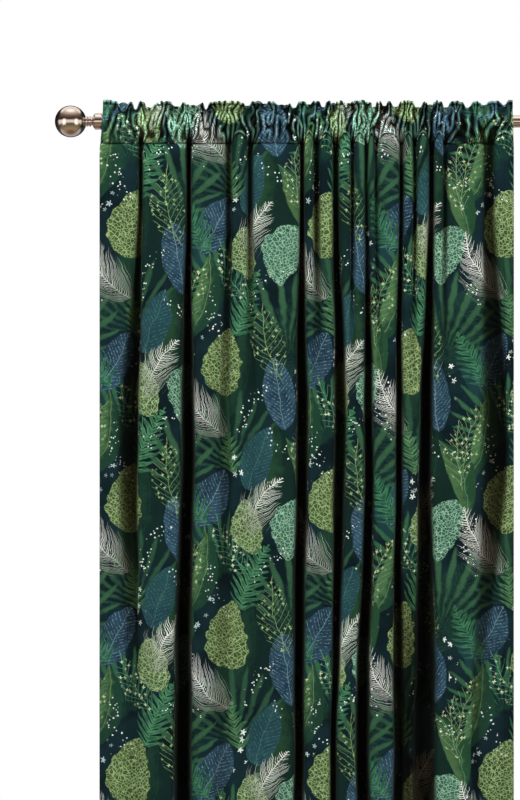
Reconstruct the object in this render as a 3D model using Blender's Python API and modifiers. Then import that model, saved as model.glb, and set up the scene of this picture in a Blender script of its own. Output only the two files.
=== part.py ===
"""A printed velvet curtain gathered on a round metal rod that has a ball finial at each end.

One panel of cloth hangs from its own casing: the top of the panel is turned over to the back,
stitched above and below the rod, and stands up above the rod as a frill. Below the casing the
cloth drops in long vertical folds, close together on the right and broad on the left.

Frame: metres, +Z up, +X along the rod to the viewer's right, the front of the cloth faces -Y.
The origin lies on the rod's axis, at the middle of the hung curtain.
"""

import math

import bmesh
import bpy

MM = 0.001

# Driving sizes of the cloth
CLOTH_WIDTH = 1.400
CLOTH_DROP = 2.400
HUNG_WIDTH = 0.966
CASING_LEFT = -0.4755
CASING_RIGHT = 0.4820
CLOTH_THICKNESS = 0.0018
FRILL_TOP = 0.050
HEM_Z = FRILL_TOP - CLOTH_DROP

# Driving sizes of the rod and its finials
ROD_RADIUS = 0.014
ROD_WALL = 0.0012
ROUND_SIDES = 28
BALL_RADIUS = 0.037
NECK_RADIUS = 0.0110
GROOVE_RADIUS = 0.0085
COLLAR_RADIUS = 0.0188
COLLAR_END = 0.073
SOCKET_DEPTH = 0.020
FIT_GAP = 0.0003
LEFT_BALL_X = -0.552
RIGHT_BALL_X = 0.606

# How far the ridges bulge forward between two valleys, as a share of their width and at most
CROWN_SHARE = 0.05
CROWN_MOST = 4.0
RIDGE_POINT_SPACING = 30.0

# The valleys between the folds at four heights, in millimetres from the curtain's left edge.
# Columns: left lip, floor, right lip, depth behind the front face, recess of the ridge after it
FOLDS_TOP = (
    (88, 95, 103, 18, 0),
    (200, 207, 215, 30, 0),
    (291, 300, 310, 16, 2),
    (342, 351, 360, 17, 0),
    (465, 472, 480, 22, 0),
    (496, 506, 516, 17, 0),
    (541, 551, 561, 21, 0),
    (583, 590, 597, 15, 0),
    (616, 622, 629, 12, 0),
    (639, 645, 652, 12, 0),
    (697, 704, 712, 17, 0),
    (729, 736, 743, 15, 0),
    (766, 775, 784, 21, 0),
    (799, 806, 813, 13, 4),
    (894, 909, 923, 18, 2),
)
FOLDS_MIDDLE = (
    (40, 82, 92, 22, 0),
    (187, 205, 222, 40, 0),
    (280, 292, 306, 10, 0),
    (342, 352, 362, 3, 0),
    (455, 472, 488, 36, 0),
    (500, 508, 518, 1, 0),
    (545, 562, 578, 30, 0),
    (584, 591, 598, 1, 0),
    (616, 630, 642, 28, 0),
    (648, 653, 659, 1, 0),
    (688, 698, 708, 26, 0),
    (722, 729, 736, 1, 0),
    (744, 762, 778, 38, 0),
    (799, 806, 813, 2, 0),
    (888, 940, 955, 20, 3),
)
FOLDS_LOW = (
    (60, 76, 92, 4, 0),
    (170, 192, 214, 42, 0),
    (264, 284, 304, 6, 0),
    (346, 355, 364, 1, 0),
    (450, 463, 478, 34, 0),
    (498, 508, 518, 1, 0),
    (537, 546, 556, 30, 0),
    (572, 579, 586, 1, 0),
    (596, 614, 632, 36, 0),
    (641, 647, 654, 1, 0),
    (682, 696, 710, 26, 14),
    (715, 720, 726, 15, 14),
    (732, 758, 786, 36, 0),
    (804, 811, 818, 1, 0),
    (866, 876, 886, 8, 4),
)
FOLDS_HEM = (
    (64, 80, 96, 5, 0),
    (168, 192, 216, 40, 0),
    (266, 288, 308, 10, 0),
    (346, 355, 364, 2, 0),
    (446, 463, 480, 34, 0),
    (498, 508, 518, 2, 0),
    (536, 547, 558, 28, 0),
    (574, 580, 587, 2, 0),
    (596, 616, 636, 36, 0),
    (643, 649, 655, 2, 0),
    (682, 697, 712, 24, 12),
    (716, 722, 728, 13, 12),
    (734, 760, 788, 34, 0),
    (804, 812, 820, 2, 0),
    (864, 877, 890, 10, 4),
)
FOLD_HEIGHTS = (
    (-0.160, FOLDS_TOP),
    (-0.722, FOLDS_MIDDLE),
    (-1.471, FOLDS_LOW),
    (HEM_Z, FOLDS_HEM),
)

# The rows of the panel, from the hem up the front, over the frill and down the back.
# The casing lies on the rod like a tent, 0.5 mm off it between its stitched ridge and its sides.
# Columns: height, distance of the layer from the casing's middle plane (front is negative),
# share of the hanging folds, depth of the gathers, way the gathers stand out (-1 is forward),
# how far the frill's scallops lower the row
BODY_PLANE = -0.020
PANEL_ROWS = (
    (HEM_Z, BODY_PLANE, 1.00, 0.000, -1, 0.000),
    (-1.9000, BODY_PLANE, 1.00, 0.000, -1, 0.000),
    (-1.4710, BODY_PLANE, 1.00, 0.000, -1, 0.000),
    (-1.1000, BODY_PLANE, 1.00, 0.000, -1, 0.000),
    (-0.7220, BODY_PLANE, 1.00, 0.000, -1, 0.000),
    (-0.4400, BODY_PLANE, 1.00, 0.000, -1, 0.000),
    (-0.1600, BODY_PLANE, 1.00, 0.000, -1, 0.000),
    (-0.0880, -0.0190, 0.80, 0.001, -1, 0.000),
    (-0.0680, -0.0150, 0.50, 0.003, -1, 0.000),
    (-0.0520, -0.0100, 0.25, 0.004, -1, 0.000),
    (-0.0300, -0.0145, 0.06, 0.006, -1, 0.000),
    (-0.0100, -0.0172, 0.00, 0.008, -1, 0.000),
    (0.0040, -0.0158, 0.00, 0.008, -1, 0.000),
    (0.0170, -0.0076, 0.00, 0.006, -1, 0.000),
    (0.0250, -0.0022, 0.00, 0.004, -1, 0.000),
    (0.0380, -0.0036, 0.00, 0.005, -1, 0.006),
    (FRILL_TOP, 0.0000, 0.00, 0.005, -1, 0.013),
    (0.0380, 0.0036, 0.00, 0.005, -1, 0.006),
    (0.0250, 0.0022, 0.00, 0.004, -1, 0.000),
    (0.0170, 0.0076, 0.00, 0.004, 1, 0.000),
    (0.0040, 0.0158, 0.00, 0.008, 1, 0.000),
    (-0.0100, 0.0172, 0.00, 0.008, 1, 0.000),
    (-0.0300, 0.0100, 0.00, 0.004, -1, 0.000),
    (-0.0490, -0.0055, 0.25, 0.004, -1, 0.000),
)
GATHER_EVENNESS = 0.35
GATHER_WAVE = 0.056
SCALLOP_WAVE = 0.047

VELVET = ("printed_velvet", (0.035, 0.110, 0.085, 1.0), 0.85, 0.0)
STEEL = ("brushed_steel", (0.62, 0.56, 0.51, 1.0), 0.28, 1.0)


def clear_scene():
    """Removes every object, so that the script can run in any open file."""
    for old in list(bpy.data.objects):
        bpy.data.objects.remove(old, do_unlink=True)


def make_material(name, colour, roughness, metallic):
    """A Principled material with the colour and gloss seen on the real piece."""
    material = bpy.data.materials.new(name)
    material.use_nodes = True
    shader = material.node_tree.nodes["Principled BSDF"]
    shader.inputs["Base Color"].default_value = colour
    shader.inputs["Roughness"].default_value = roughness
    shader.inputs["Metallic"].default_value = metallic
    return material


def smooth_share(value, start, end):
    """0 at start, 1 at end, and an even S-curve between them."""
    share = min(max((value - start) / (end - start), 0.0), 1.0)
    return share * share * (3.0 - 2.0 * share)


def folds_at(height):
    """The table of valleys at a height, blended between the two tables round it."""
    if height >= FOLD_HEIGHTS[0][0]:
        return FOLD_HEIGHTS[0][1]
    for (upper, above), (lower, below) in zip(FOLD_HEIGHTS, FOLD_HEIGHTS[1:]):
        if height >= lower:
            share = smooth_share(height, upper, lower)
            return [
                [a + (b - a) * share for a, b in zip(row_above, row_below)]
                for row_above, row_below in zip(above, below)
            ]
    return FOLD_HEIGHTS[-1][1]


def ridge_counts():
    """How many points each ridge gets, left to right, from its width at the top of the folds."""
    lips = [0.0]
    for left, _, right, _, _ in FOLDS_TOP:
        lips += [left, right]
    lips.append(HUNG_WIDTH / MM)
    return [max(1, round((end - start) / RIDGE_POINT_SPACING)) for start, end in zip(lips[::2], lips[1::2])]


def ridge_points(start, end, level, count):
    """The points between a ridge's two lips, which stand a little proud of them."""
    crown = min(CROWN_SHARE * (end - start), CROWN_MOST)
    shares = [(index + 1) / (count + 1) for index in range(count)]
    return [(start + (end - start) * share, level - crown * 4.0 * share * (1.0 - share)) for share in shares]


def section_points(height, depth_scale):
    """One horizontal section of the hanging cloth, left to right: (x, y) in millimetres.

    x runs from the left edge and y goes back from the front face. Each valley has six points
    and each ridge a fixed count, so every section has the same number of points.
    """
    counts = ridge_counts()
    points = [(0.0, 0.0)]
    start, level = 0.0, 0.0
    for (left, floor, right, depth, after), count in zip(folds_at(height), counts):
        depth, after = depth * depth_scale, after * depth_scale
        points += ridge_points(start, left, level, count)
        points.append((left, level))
        points.append((left + 0.22 * (floor - left), level + 0.25 * (depth - level)))
        points.append((left + 0.74 * (floor - left), level + 0.94 * (depth - level)))
        points.append((right - 0.74 * (right - floor), after + 0.94 * (depth - after)))
        points.append((right - 0.22 * (right - floor), after + 0.25 * (depth - after)))
        points.append((right, after))
        start, level = right, after
    edge = HUNG_WIDTH / MM
    points += ridge_points(start, edge, level, counts[-1])
    points.append((edge, level))
    return points


def distances_along(points):
    """How far each point lies along the line through all of them."""
    along = [0.0]
    for (xa, ya), (xb, yb) in zip(points, points[1:]):
        along.append(along[-1] + math.hypot(xb - xa, yb - ya))
    return along


def hanging_section(height):
    """The section whose length along the cloth is the cloth's own flat width."""
    low, high = 0.2, 3.0
    for _ in range(30):
        middle = (low + high) / 2.0
        if distances_along(section_points(height, middle))[-1] < CLOTH_WIDTH / MM:
            low = middle
        else:
            high = middle
    return section_points(height, low)


def uneven_wave(distance, length):
    """A wave between 0 and 1 whose crests are neither evenly spaced nor equally high."""
    turn = 2.0 * math.pi * distance / length
    return max(0.0, 0.42 + 0.36 * math.sin(turn) + 0.22 * math.sin(0.61 * turn + 1.3))


def panel_grid():
    """The panel's points row by row, each row from the left edge to the right."""
    along = distances_along(hanging_section(FOLD_HEIGHTS[0][0]))
    grid = []
    for height, plane, fold_share, gather, way, droop in PANEL_ROWS:
        row = []
        for distance, (x, y) in zip(along, hanging_section(height)):
            evenly = distance / along[-1]
            across = x * MM / HUNG_WIDTH
            casing_share = across + (evenly - across) * GATHER_EVENNESS
            gathered = CASING_LEFT + (CASING_RIGHT - CASING_LEFT) * casing_share
            hung = x * MM - HUNG_WIDTH / 2.0
            ripple = gather * uneven_wave(distance * MM, GATHER_WAVE)
            scallop = droop * uneven_wave(distance * MM, SCALLOP_WAVE)
            row.append((
                gathered + (hung - gathered) * fold_share,
                plane + y * MM * fold_share + way * ripple,
                height - scallop,
            ))
        grid.append(row)
    return grid


def make_panel(collection, material):
    """The cloth as one sheet: a grid whose points are moved to the hanging shape, then thickened."""
    grid = panel_grid()
    rows, columns = len(grid), len(grid[0])
    mesh = bpy.data.meshes.new("curtain_panel")
    work = bmesh.new()
    bmesh.ops.create_grid(work, x_segments=columns - 1, y_segments=rows - 1, size=0.5)
    work.verts.ensure_lookup_table()
    for vertex in work.verts:
        column = round((vertex.co.x + 0.5) * (columns - 1))
        row = round((vertex.co.y + 0.5) * (rows - 1))
        vertex.co = grid[row][column]
    work.to_mesh(mesh)
    work.free()
    panel = bpy.data.objects.new("curtain_panel", mesh)
    collection.objects.link(panel)
    panel.data.materials.append(material)
    panel.data.shade_smooth()
    thicken = panel.modifiers.new("cloth_thickness", "SOLIDIFY")
    thicken.thickness = CLOTH_THICKNESS
    thicken.offset = 0.0
    thicken.use_rim = True
    return panel


def make_rod(collection, material):
    """The round tube, from the bottom of one finial's socket to the bottom of the other's."""
    start = LEFT_BALL_X + COLLAR_END - SOCKET_DEPTH + FIT_GAP
    end = RIGHT_BALL_X - COLLAR_END + SOCKET_DEPTH - FIT_GAP
    bpy.ops.mesh.primitive_cylinder_add(
        vertices=ROUND_SIDES,
        radius=ROD_RADIUS,
        depth=end - start,
        end_fill_type="NOTHING",
        location=((start + end) / 2.0, 0.0, 0.0),
        rotation=(0.0, math.radians(90.0), 0.0),
    )
    rod = bpy.context.object
    rod.name = rod.data.name = "rod_tube"
    for owner in list(rod.users_collection):
        owner.objects.unlink(rod)
    collection.objects.link(rod)
    rod.data.materials.append(material)
    rod.data.shade_smooth()
    wall = rod.modifiers.new("tube_wall", "SOLIDIFY")
    wall.thickness = ROD_WALL
    wall.offset = -1.0
    return rod


def finial_profile():
    """Half the finial's outline from the ball's far pole to the socket's bottom: (along, radius).

    Distances run along the rod's axis from the ball's centre towards the curtain.
    """
    neck_angle = math.asin(NECK_RADIUS / BALL_RADIUS)
    outline = []
    arcs = 12
    for step in range(arcs + 1):
        angle = math.pi - (math.pi - neck_angle) * step / arcs
        outline.append((BALL_RADIUS * math.cos(angle), BALL_RADIUS * math.sin(angle)))
    outline[0] = (-BALL_RADIUS, 0.0)
    outline += [
        (0.0400, NECK_RADIUS),
        (0.0412, GROOVE_RADIUS),
        (0.0424, NECK_RADIUS),
        (0.0480, NECK_RADIUS),
        (0.0492, GROOVE_RADIUS),
        (0.0508, GROOVE_RADIUS),
        (0.0520, NECK_RADIUS),
        (0.0570, COLLAR_RADIUS),
        (COLLAR_END, COLLAR_RADIUS),
        (COLLAR_END, ROD_RADIUS + FIT_GAP),
        (COLLAR_END - SOCKET_DEPTH, ROD_RADIUS + FIT_GAP),
        (COLLAR_END - SOCKET_DEPTH, 0.0),
    ]
    return outline


def make_finials(collection, material):
    """Two turned finials that share one mesh, the right one turned to face the other way."""
    mesh = bpy.data.meshes.new("finial")
    outline = finial_profile()
    mesh.from_pydata(
        [(along, 0.0, radius) for along, radius in outline],
        [(index, index + 1) for index in range(len(outline) - 1)],
        [],
    )
    for name, ball_x, turn in (("finial_left", LEFT_BALL_X, 0.0), ("finial_right", RIGHT_BALL_X, 180.0)):
        finial = bpy.data.objects.new(name, mesh)
        finial.location = (ball_x, 0.0, 0.0)
        finial.rotation_euler = (0.0, 0.0, math.radians(turn))
        collection.objects.link(finial)
        turned = finial.modifiers.new("turned", "SCREW")
        turned.axis = "X"
        turned.angle = math.radians(360.0)
        turned.steps = turned.render_steps = ROUND_SIDES
        turned.use_merge_vertices = True
        turned.merge_threshold = 0.00001
        turned.use_normal_calculate = True
    mesh.materials.append(material)


def main():
    clear_scene()
    parts = bpy.data.collections.new("velvet_curtain_on_rod")
    bpy.context.scene.collection.children.link(parts)
    velvet = make_material(*VELVET)
    steel = make_material(*STEEL)
    make_panel(parts, velvet)
    make_rod(parts, steel)
    make_finials(parts, steel)


main()
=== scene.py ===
# %% [markdown]
# # A printed velvet curtain on its rod
#
# The real piece is one panel of velvet, 1.40 m wide, gathered on a round metal rod. The top of
# the panel is turned over to the back and stitched above and below the rod, so it makes a casing
# with a small frill standing above it. Below the casing the cloth drops in deep, uneven folds.
#
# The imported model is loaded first. It gives the rod's and the curtain's real places, so that
# everything here is made in the same metres.

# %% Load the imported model
import math

import bmesh
import bpy
import numpy as np
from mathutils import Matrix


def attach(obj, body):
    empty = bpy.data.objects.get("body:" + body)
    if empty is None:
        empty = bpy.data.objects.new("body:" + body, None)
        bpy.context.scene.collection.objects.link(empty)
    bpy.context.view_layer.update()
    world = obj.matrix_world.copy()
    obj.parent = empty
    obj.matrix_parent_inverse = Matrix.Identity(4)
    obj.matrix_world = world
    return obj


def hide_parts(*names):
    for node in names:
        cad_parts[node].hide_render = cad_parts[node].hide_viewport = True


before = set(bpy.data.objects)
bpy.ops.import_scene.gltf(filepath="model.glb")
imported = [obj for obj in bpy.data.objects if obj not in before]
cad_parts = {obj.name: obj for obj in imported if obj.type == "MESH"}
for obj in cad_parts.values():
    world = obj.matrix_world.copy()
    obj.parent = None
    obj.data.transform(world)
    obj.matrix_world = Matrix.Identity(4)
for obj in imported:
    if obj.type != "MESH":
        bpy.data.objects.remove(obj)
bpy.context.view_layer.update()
print("packed model:", sorted(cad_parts))

# %% [markdown]
# ## The camera
#
# The photograph was taken square on and from far away, so the curtain shows almost no
# perspective. A long lens at six metres gives that look and still has a real camera's place.
# One pixel of the picture is 2.34 mm on the cloth, found from the thickness of the rod.

# %% Place the camera
PICTURE_WIDTH, PICTURE_HEIGHT = 520, 800
METRES_PER_PIXEL = 0.00234
ROD_PIXEL_Y = 121.5
CURTAIN_MIDDLE_PIXEL_X = 306.6
CAMERA_DISTANCE = 6.0
SENSOR_HEIGHT = 24.0


def add_object(name, data):
    """A new object in the scene."""
    thing = bpy.data.objects.new(name, data)
    bpy.context.scene.collection.objects.link(thing)
    return thing


view_x = (PICTURE_WIDTH / 2 - CURTAIN_MIDDLE_PIXEL_X) * METRES_PER_PIXEL
view_z = (ROD_PIXEL_Y - PICTURE_HEIGHT / 2) * METRES_PER_PIXEL
camera_data = bpy.data.cameras.new("long_lens")
camera_data.sensor_fit = "VERTICAL"
camera_data.sensor_height = SENSOR_HEIGHT
camera_data.lens = SENSOR_HEIGHT * CAMERA_DISTANCE / (PICTURE_HEIGHT * METRES_PER_PIXEL)
camera = add_object("long_lens", camera_data)
camera.location = (view_x, -CAMERA_DISTANCE, view_z)
camera.rotation_euler = (math.radians(90), 0, 0)
bpy.context.scene.camera = camera
bpy.context.scene.view_settings.view_transform = "Standard"
print("lens", round(camera_data.lens, 1), "mm at", [round(v, 3) for v in camera.location])

# %% [markdown]
# ## Nodes as formulas
#
# Every colour here is made of nodes, and long node chains are hard to read. A small class lets
# a node's output be added, multiplied and divided like a number. Each operation still makes one
# ordinary node, in the tree that its inputs belong to.

# %% A node output that behaves like a number
class Wire:
    """The output of a node, usable in a formula."""

    def __init__(self, socket):
        self.socket = socket

    def __add__(self, other):
        return calc("ADD", self, other)

    def __sub__(self, other):
        return calc("SUBTRACT", self, other)

    def __rsub__(self, other):
        return calc("SUBTRACT", other, self)

    def __mul__(self, other):
        return calc("MULTIPLY", self, other)

    def __truediv__(self, other):
        return calc("DIVIDE", self, other)

    def __abs__(self):
        return calc("ABSOLUTE", self)

    __radd__ = __add__
    __rmul__ = __mul__


def plug(value, socket):
    """Joins a wire to an input, or sets the input to a plain value."""
    if isinstance(value, Wire):
        socket.id_data.links.new(value.socket, socket)
    else:
        socket.default_value = value


def adjust(node, **settings):
    """Sets a node's inputs and other settings by name, with _ in place of each space."""
    for name, value in settings.items():
        label = name.replace("_", " ")
        if label in node.inputs:
            plug(value, node.inputs[label])
        else:
            setattr(node, name, value)
    return node


def tree_of(*values):
    """The node tree of the first wire among the values."""
    return next(value.socket.id_data for value in values if isinstance(value, Wire))


print("wires ready")

# %% [markdown]
# The helpers below make what is used again and again: arithmetic, a soft step, one colour laid
# over another, fine relief and a new material.

# %% Nodes that are used again and again
def calc(operation, *values, kind="ShaderNodeMath"):
    """A Math node, or a Vector Math node where kind says so."""
    node = adjust(tree_of(*values).nodes.new(kind), operation=operation)
    for value, socket in zip(values, node.inputs):
        plug(value, socket)
    return Wire(node.outputs[0])


def parts_of(vector):
    """The x, y and z of a vector."""
    node = adjust(tree_of(vector).nodes.new("ShaderNodeSeparateXYZ"), Vector=vector)
    return [Wire(part) for part in node.outputs]


def rise(value, low, high):
    """0 below low, 1 above high and a soft step between them."""
    node = tree_of(value).nodes.new("ShaderNodeMapRange")
    adjust(node, interpolation_type="SMOOTHSTEP", Value=value, From_Min=low, From_Max=high)
    return Wire(node.outputs["Result"])


def paint_over(under, over, mask, way="MIX"):
    """Lays one colour over another where the mask is 1."""
    node = tree_of(mask, under, over).nodes.new("ShaderNodeMix")
    adjust(node, data_type="RGBA", blend_type=way)
    for value, number in ((mask, 0), (under, 6), (over, 7)):
        plug(value, node.inputs[number])
    return Wire(node.outputs[2])


def relief(height, strength, distance):
    """A surface direction bent by fine relief, whose distance is in metres."""
    node = tree_of(height).nodes.new("ShaderNodeBump")
    return Wire(adjust(node, Strength=strength, Distance=distance, Height=height).outputs["Normal"])


def new_material(name, **settings):
    """A material, its node tree and its shader with the given settings."""
    material = bpy.data.materials.new(name)
    material.use_nodes = True
    shader = adjust(material.node_tree.nodes["Principled BSDF"], **settings)
    return material, material.node_tree, shader


print("node helpers ready")

# %% [markdown]
# ## Light and floor
#
# Dark velvet eats light, so its folds only read if the light is broad and comes mostly from
# the front, a little from above and from the left. The deep valleys between the folds then turn
# dark, and painted shade in the cloth's colour takes them nearly to black. A weaker softbox behind
# shows the wrong side of the cloth and draws a thin rim of light along the frill, which a painted
# highlight on the rim makes brighter. The world is white only where the camera looks straight
# at it, and a soft grey for everything else, so the white doesn't wash out the valleys.

# %% Light the studio
WORLD_LIGHT = 0.10
STUDIO_LIGHTS = (
    # name, place, aimed at, width, height, watts
    ("key_softbox", (-3.2, -4.4, 1.4), (0.0, 0.0, -0.8), 1.6, 2.6, 178.0),
    ("fill_softbox", (3.4, -4.2, 0.4), (0.0, 0.0, -0.8), 1.6, 2.6, 166.0),
    ("top_softbox", (-0.2, -0.9, 2.3), (0.0, 0.0, 0.0), 2.6, 0.6, 60.0),
    ("back_softbox", (1.6, 4.2, 1.3), (0.0, 0.0, -0.9), 2.0, 2.6, 120.0),
)


def aim(thing, target):
    """Turns a light so that its -Z axis points at the target."""
    gap = [t - p for t, p in zip(target, thing.location)]
    flat = math.hypot(gap[0], gap[1])
    thing.rotation_euler = (math.atan2(flat, -gap[2]), 0.0, math.atan2(-gap[0], gap[1]))


for name, place, target, width, height, watts in STUDIO_LIGHTS:
    lamp = bpy.data.lights.new(name, "AREA")
    lamp.shape = "RECTANGLE"
    lamp.size, lamp.size_y = width, height
    lamp.energy = watts
    softbox = add_object(name, lamp)
    softbox.location = place
    aim(softbox, target)
    softbox.visible_glossy = False

world = bpy.data.worlds.new("white_studio")
bpy.context.scene.world = world
world.use_nodes = True
studio = world.node_tree
looked_at = studio.nodes.new("ShaderNodeLightPath")
by_camera, by_gloss = (Wire(looked_at.outputs[name]) for name in ("Is Camera Ray", "Is Glossy Ray"))
backdrop = adjust(
    studio.nodes["Background"],
    Color=(1.0, 1.0, 1.0, 1.0),
    Strength=calc("MULTIPLY_ADD", by_camera, 1.0 - WORLD_LIGHT, WORLD_LIGHT),
)
print("softboxes:", len(STUDIO_LIGHTS))

# %% [markdown]
# Polished metal shows the room it stands in: a bright ceiling, a dark wall, a strip of windows
# at eye level and a warm floor. The rim of the ball shows what is behind it, which is dark, and
# that draws its thin outline. Only reflections see this room, so it doesn't light the cloth.

# %% Give the metal a room to reflect
FRONT_BANDS = (
    # height of the view from straight down (-1) to straight up (1), red, green, blue
    (-1.00, 0.26, 0.13, 0.08),
    (-0.86, 0.52, 0.38, 0.22),
    (-0.60, 0.30, 0.26, 0.15),
    (-0.30, 0.07, 0.07, 0.04),
    (-0.20, 1.10, 1.07, 1.02),
    (0.08, 1.40, 1.36, 1.30),
    (0.18, 0.03, 0.015, 0.01),
    (0.45, 0.12, 0.07, 0.05),
    (0.68, 0.32, 0.24, 0.19),
    (0.88, 0.95, 0.85, 0.76),
    (0.98, 2.00, 1.92, 1.80),
)
BACK_BANDS = (
    (-1.00, 0.24, 0.16, 0.13),
    (-0.88, 0.42, 0.38, 0.39),
    (-0.66, 0.80, 0.78, 0.78),
    (-0.50, 0.10, 0.08, 0.07),
    (0.00, 0.02, 0.02, 0.02),
    (0.60, 0.03, 0.02, 0.02),
    (0.74, 1.60, 1.52, 1.42),
    (1.00, 2.00, 1.92, 1.80),
)
WINDOW_COLOUR = (2.2, 2.15, 2.1, 1.0)


def room_bands(height, table):
    """The colours of the room from straight down to straight up."""
    bands = adjust(studio.nodes.new("ShaderNodeValToRGB"), Fac=height)
    stops = bands.color_ramp.elements
    for number, (level, *colour) in enumerate(table):
        stop = stops[0] if number == 0 else stops.new((level + 1.0) / 2.0)
        stop.color = (*colour, 1.0)
    stops[-1].color = (*table[-1][1:], 1.0)
    return Wire(bands.outputs["Color"])


view_way = studio.nodes.new("ShaderNodeTexCoord")
sideways, behind, upwards = parts_of(Wire(view_way.outputs["Generated"]))
view_height = calc("MULTIPLY_ADD", upwards, 0.5, 0.5)
in_window = rise(abs(sideways), 0.48, 0.62) * rise(abs(sideways), 0.88, 0.76)
in_window = in_window * rise(upwards, -0.50, -0.28) * rise(upwards, 0.28, 0.16)
front_room = paint_over(room_bands(view_height, FRONT_BANDS), WINDOW_COLOUR, in_window)
room_colour = paint_over(front_room, room_bands(view_height, BACK_BANDS), rise(behind, -0.05, 0.30))
room = adjust(studio.nodes.new("ShaderNodeBackground"), Color=room_colour)
choose = studio.nodes.new("ShaderNodeMixShader")
for shader, socket in zip((by_gloss.socket, backdrop.outputs[0], room.outputs[0]), choose.inputs):
    studio.links.new(shader, socket)
studio.links.new(choose.outputs[0], studio.nodes["World Output"].inputs["Surface"])
print("bands in the room:", len(FRONT_BANDS), "in front,", len(BACK_BANDS), "behind")

# %% [markdown]
# The floor lies just below the hem, pale and plain.

# %% Lay the floor
FLOOR_SIZE = 4.0
FLOOR_Z = -2.40
floor_mesh = bpy.data.meshes.new("studio_floor")
floor_form = bmesh.new()
bmesh.ops.create_grid(floor_form, x_segments=1, y_segments=1, size=FLOOR_SIZE)
floor_form.to_mesh(floor_mesh)
floor_form.free()
floor = add_object("studio_floor", floor_mesh)
floor.location = (0.0, 0.0, FLOOR_Z)
floor_paint = new_material("pale_floor", Base_Color=(0.82, 0.82, 0.81, 1.0), Roughness=0.9)[0]
floor_mesh.materials.append(floor_paint)
floor.visible_glossy = False
print("floor at", FLOOR_Z)

# %% [markdown]
# ## The folds
#
# A hanging fold hardly changes along its height, so the cloth can be drawn as a few horizontal
# sections, each a row of valleys between broad ridges. Every table is one section, in
# millimetres from the left edge: where a valley starts, where its floor is, where it ends, how
# deep it is beside the others, and how far the ridge after it stands back. The sections between
# two tables are blended. A cloth simulation would make folds of its own choosing, and these
# have to lie where the real ones do, so they are placed one by one.

# %% Tables of the folds
MM = 0.001
CLOTH_WIDTH = 1.400
HUNG_WIDTH = 0.966
HEM_Z = -2.350
FRILL_TOP = 0.050
FOLDS_TOP = (
    (88, 95, 103, 18, 0),
    (200, 207, 215, 30, 0),
    (291, 300, 310, 16, 2),
    (342, 351, 360, 17, 0),
    (465, 472, 480, 22, 0),
    (496, 506, 516, 17, 0),
    (541, 551, 561, 21, 0),
    (583, 590, 597, 15, 0),
    (616, 622, 629, 12, 0),
    (639, 645, 652, 12, 0),
    (697, 704, 712, 17, 0),
    (729, 736, 743, 15, 0),
    (766, 775, 784, 21, 0),
    (799, 806, 813, 13, 4),
    (894, 909, 923, 18, 2),
)
FOLDS_MIDDLE = (
    (40, 82, 92, 22, 0),
    (187, 205, 222, 40, 0),
    (280, 292, 306, 10, 0),
    (342, 352, 362, 3, 0),
    (455, 472, 488, 36, 0),
    (500, 508, 518, 1, 0),
    (545, 562, 578, 30, 0),
    (584, 591, 598, 1, 0),
    (616, 630, 642, 28, 0),
    (648, 653, 659, 1, 0),
    (688, 698, 708, 26, 0),
    (722, 729, 736, 1, 0),
    (744, 762, 778, 38, 0),
    (799, 806, 813, 2, 0),
    (888, 940, 955, 20, 3),
)
FOLDS_LOW = (
    (60, 76, 92, 4, 0),
    (170, 192, 214, 42, 0),
    (264, 284, 304, 6, 0),
    (346, 355, 364, 1, 0),
    (450, 463, 478, 34, 0),
    (498, 508, 518, 1, 0),
    (537, 546, 556, 30, 0),
    (572, 579, 586, 1, 0),
    (596, 614, 632, 36, 0),
    (641, 647, 654, 1, 0),
    (682, 696, 710, 26, 14),
    (715, 720, 726, 15, 14),
    (732, 758, 786, 36, 0),
    (804, 811, 818, 1, 0),
    (866, 876, 886, 8, 4),
)
FOLDS_HEM = (
    (64, 80, 96, 5, 0),
    (168, 192, 216, 40, 0),
    (266, 288, 308, 10, 0),
    (346, 355, 364, 2, 0),
    (446, 463, 480, 34, 0),
    (498, 508, 518, 2, 0),
    (536, 547, 558, 28, 0),
    (574, 580, 587, 2, 0),
    (596, 616, 636, 36, 0),
    (643, 649, 655, 2, 0),
    (682, 697, 712, 24, 12),
    (716, 722, 728, 13, 12),
    (734, 760, 788, 34, 0),
    (804, 812, 820, 2, 0),
    (864, 877, 890, 10, 4),
)
FOLD_HEIGHTS = (
    (-0.160, FOLDS_TOP),
    (-0.722, FOLDS_MIDDLE),
    (-1.471, FOLDS_LOW),
    (HEM_Z, FOLDS_HEM),
)
print("valleys in a section:", len(FOLDS_TOP))

# %% [markdown]
# ## From a table to a section of cloth
#
# A section starts as corner points. The wall of a valley has three on each side, and the ridge
# after it has two shoulders and a crown. Between the tables the valleys wander a little, because
# no real fold runs quite straight.

# %% Corner points of a section
WANDER = 1.6
VALLEY_WALL = ((0.0, 0.06), (0.14, 0.40), (0.40, 0.86))


def soft_share(value, start, end):
    """0 at start, 1 at end and an even S-curve between them."""
    share = np.clip((value - start) / (end - start), 0.0, 1.0)
    return share * share * (3.0 - 2.0 * share)


def bell(value, middle, width):
    """1 at the middle, falling softly to 0 on both sides."""
    return np.exp(-((value - middle) / width) ** 2)


def folds_at(height):
    """The valleys at a height as an array, blended between the tables and wandering a little."""
    tables = [(z, np.array(rows, dtype=float)) for z, rows in FOLD_HEIGHTS]
    folds = tables[0][1]
    for (upper, above), (lower, below) in zip(tables, tables[1:]):
        if height < upper:
            folds = above + (below - above) * soft_share(-height, -upper, -lower)
    which = np.arange(len(folds))
    sway = WANDER * np.sin(9.0 * height + 2.1 * which) + 0.6 * WANDER * np.sin(23.0 * height + which)
    folds[:, :3] += (sway * soft_share(-height, 0.16, 0.5))[:, None]
    return folds


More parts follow.
